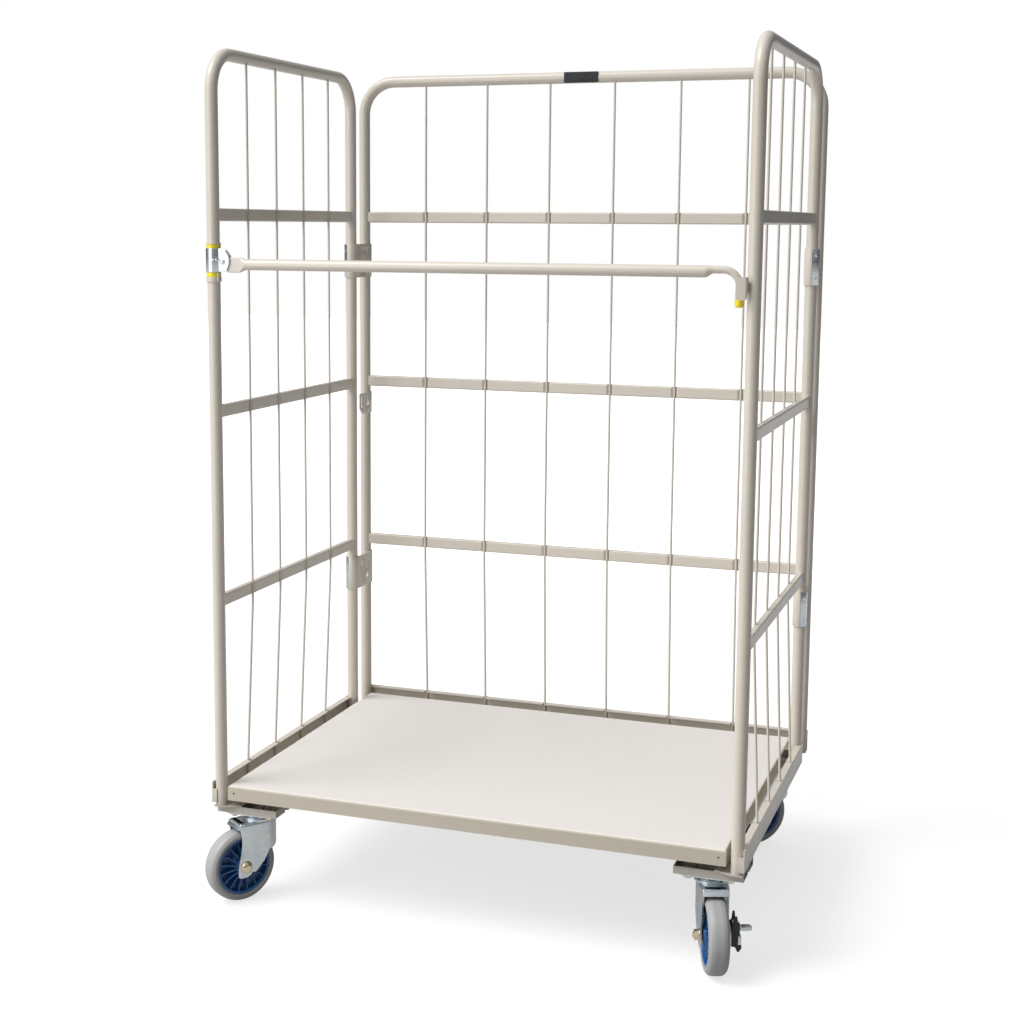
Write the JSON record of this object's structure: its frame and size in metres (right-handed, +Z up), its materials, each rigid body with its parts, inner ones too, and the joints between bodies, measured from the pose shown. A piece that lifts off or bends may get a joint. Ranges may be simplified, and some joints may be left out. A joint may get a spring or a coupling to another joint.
{
  "type": "roll cage container",
  "caption": "Wheeled roll cage: tube-framed back panel, two hinged wire side panels, tip-up sheet deck, swinging front bar and swivel casters with side brakes.",
  "frame": {"origin": "on the floor under the middle of the object's bounding box", "axes": "+X to the right seen from the open front, +Y to the back panel, +Z up"},
  "size_m": [1.1538, 0.8454, 1.74],
  "materials": {
    "frame_paint": "glossy beige-grey paint",
    "deck_paint": "glossy off-white paint, beige skirts",
    "zinc": "bright zinc plate",
    "yellow_zinc": "yellowish zinc plate",
    "grey_tyre": "grey moulded elastomer",
    "blue_hub": "blue moulded plastic",
    "black_plastic": "black moulded plastic",
    "yellow_plastic": "yellow moulded plastic",
    "dark_label": "dark bare plate"
  },
  "bodies": {
    "back_panel": {"back_frame": "frame_paint", "back_rails": "frame_paint", "back_wires": "frame_paint", "back_bottom_rail": "frame_paint", "back_label_plate": "dark_label", "hinge_leaves": "frame_paint", "hinge_straps": "zinc", "catch_plates": "frame_paint", "deck_hinge_brackets": "frame_paint", "deck_hinge_pins": "yellow_zinc", "rear_tray_left": "frame_paint", "rear_tray_right": "frame_paint", "rear_caster_bolts": "yellow_zinc", "caster_top_rear_left": "zinc", "caster_top_rear_right": "zinc"},
    "side_left": {"left_frame": "frame_paint", "left_rails": "frame_paint", "left_wires": "frame_paint", "left_bottom_rail": "frame_paint", "left_caster_channels": "frame_paint", "left_foot_plate": "frame_paint", "left_base_fasteners": "yellow_zinc", "caster_top_front_left": "zinc", "bar_post_rings": "yellow_plastic", "bar_post_collars": "frame_paint"},
    "side_right": {"right_frame": "frame_paint", "right_rails": "frame_paint", "right_wires": "frame_paint", "right_bottom_rail": "frame_paint", "right_caster_channels": "frame_paint", "right_foot_plate": "frame_paint", "right_base_fasteners": "yellow_zinc", "caster_top_front_right": "zinc", "bar_socket": "frame_paint"},
    "deck": {"deck_pan": "deck_paint", "deck_underframe": "frame_paint"},
    "bar_sleeve": {"bar_sleeve": "zinc", "bar_pivot_bolt": "yellow_zinc"},
    "front_bar": {"front_bar": "frame_paint", "bar_end_cap": "yellow_plastic"},
    "fork_front_left": {"caster_fork_front_left": "zinc", "caster_axle_front_left": "yellow_zinc", "brake_housing_front_left": "black_plastic"},
    "wheel_front_left": {"wheel_hub_front_left": "blue_hub", "tyre_front_left": "grey_tyre"},
    "brake_front_left": {"brake_pedal_front_left": "zinc"},
    "fork_front_right": {"caster_fork_front_right": "zinc", "caster_axle_front_right": "yellow_zinc", "brake_housing_front_right": "black_plastic"},
    "wheel_front_right": {"wheel_hub_front_right": "blue_hub", "tyre_front_right": "grey_tyre"},
    "brake_front_right": {"brake_pedal_front_right": "zinc"},
    "fork_rear_left": {"caster_fork_rear_left": "zinc", "caster_axle_rear_left": "yellow_zinc"},
    "wheel_rear_left": {"wheel_hub_rear_left": "blue_hub", "tyre_rear_left": "grey_tyre"},
    "fork_rear_right": {"caster_fork_rear_right": "zinc", "caster_axle_rear_right": "yellow_zinc"},
    "wheel_rear_right": {"wheel_hub_rear_right": "blue_hub", "tyre_rear_right": "grey_tyre"}
  },
  "joints": [
    {"name": "side_left_swing", "type": "hinge", "parent": "back_panel", "child": "side_left", "pos_m": [-0.53516, 0.31427, 0], "axis": [0, 0, -1], "range_deg": [0, 90]},
    {"name": "side_right_swing", "type": "hinge", "parent": "back_panel", "child": "side_right", "pos_m": [0.53944, 0.31427, 0], "axis": [0, 0, 1], "range_deg": [0, 90]},
    {"name": "deck_flip", "type": "hinge", "parent": "back_panel", "child": "deck", "pos_m": [0.00214, 0.35727, 0.235], "axis": [-1, 0, 0], "range_deg": [0, 88]},
    {"name": "sleeve_swivel", "type": "hinge", "parent": "side_left", "child": "bar_sleeve", "pos_m": [-0.53516, -0.35773, 1.316], "axis": [0, 0, 1], "range_deg": [0, 44]},
    {"name": "bar_lift", "type": "hinge", "parent": "bar_sleeve", "child": "front_bar", "pos_m": [-0.51286, -0.35773, 1.321], "axis": [0, -1, 0], "range_deg": [0, 80]},
    {"name": "swivel_front_left", "type": "hinge", "parent": "side_left", "child": "fork_front_left", "pos_m": [-0.47786, -0.30673, 0.17], "axis": [0, 0, 1], "continuous": true},
    {"name": "wheel_front_left_spin", "type": "hinge", "parent": "fork_front_left", "child": "wheel_front_left", "pos_m": [-0.50302, -0.34404, 0.075], "axis": [0.829, -0.5592, 0], "continuous": true},
    {"name": "brake_front_left_press", "type": "hinge", "parent": "fork_front_left", "child": "brake_front_left", "pos_m": [-0.53618, -0.32167, 0.096], "axis": [-0.5592, -0.829, 0], "range_deg": [0, 20]},
    {"name": "swivel_front_right", "type": "hinge", "parent": "side_right", "child": "fork_front_right", "pos_m": [0.48214, -0.30673, 0.17], "axis": [0, 0, 1], "continuous": true},
    {"name": "wheel_front_right_spin", "type": "hinge", "parent": "fork_front_right", "child": "wheel_front_right", "pos_m": [0.49754, -0.34902, 0.075], "axis": [0.9397, 0.342, 0], "continuous": true},
    {"name": "brake_front_right_press", "type": "hinge", "parent": "fork_front_right", "child": "brake_front_right", "pos_m": [0.53512, -0.33534, 0.096], "axis": [-0.342, 0.9397, 0], "range_deg": [0, 20]},
    {"name": "swivel_rear_left", "type": "hinge", "parent": "back_panel", "child": "fork_rear_left", "pos_m": [-0.47486, 0.37527, 0.17], "axis": [0, 0, 1], "continuous": true},
    {"name": "wheel_rear_left_spin", "type": "hinge", "parent": "fork_rear_left", "child": "wheel_rear_left", "pos_m": [-0.45236, 0.3363, 0.075], "axis": [0.866, 0.5, 0], "continuous": true},
    {"name": "swivel_rear_right", "type": "hinge", "parent": "back_panel", "child": "fork_rear_right", "pos_m": [0.47914, 0.37527, 0.17], "axis": [0, 0, 1], "continuous": true},
    {"name": "wheel_rear_right_spin", "type": "hinge", "parent": "fork_rear_right", "child": "wheel_rear_right", "pos_m": [0.44057, 0.35209, 0.075], "axis": [0.515, -0.8572, 0], "continuous": true}
  ]
}
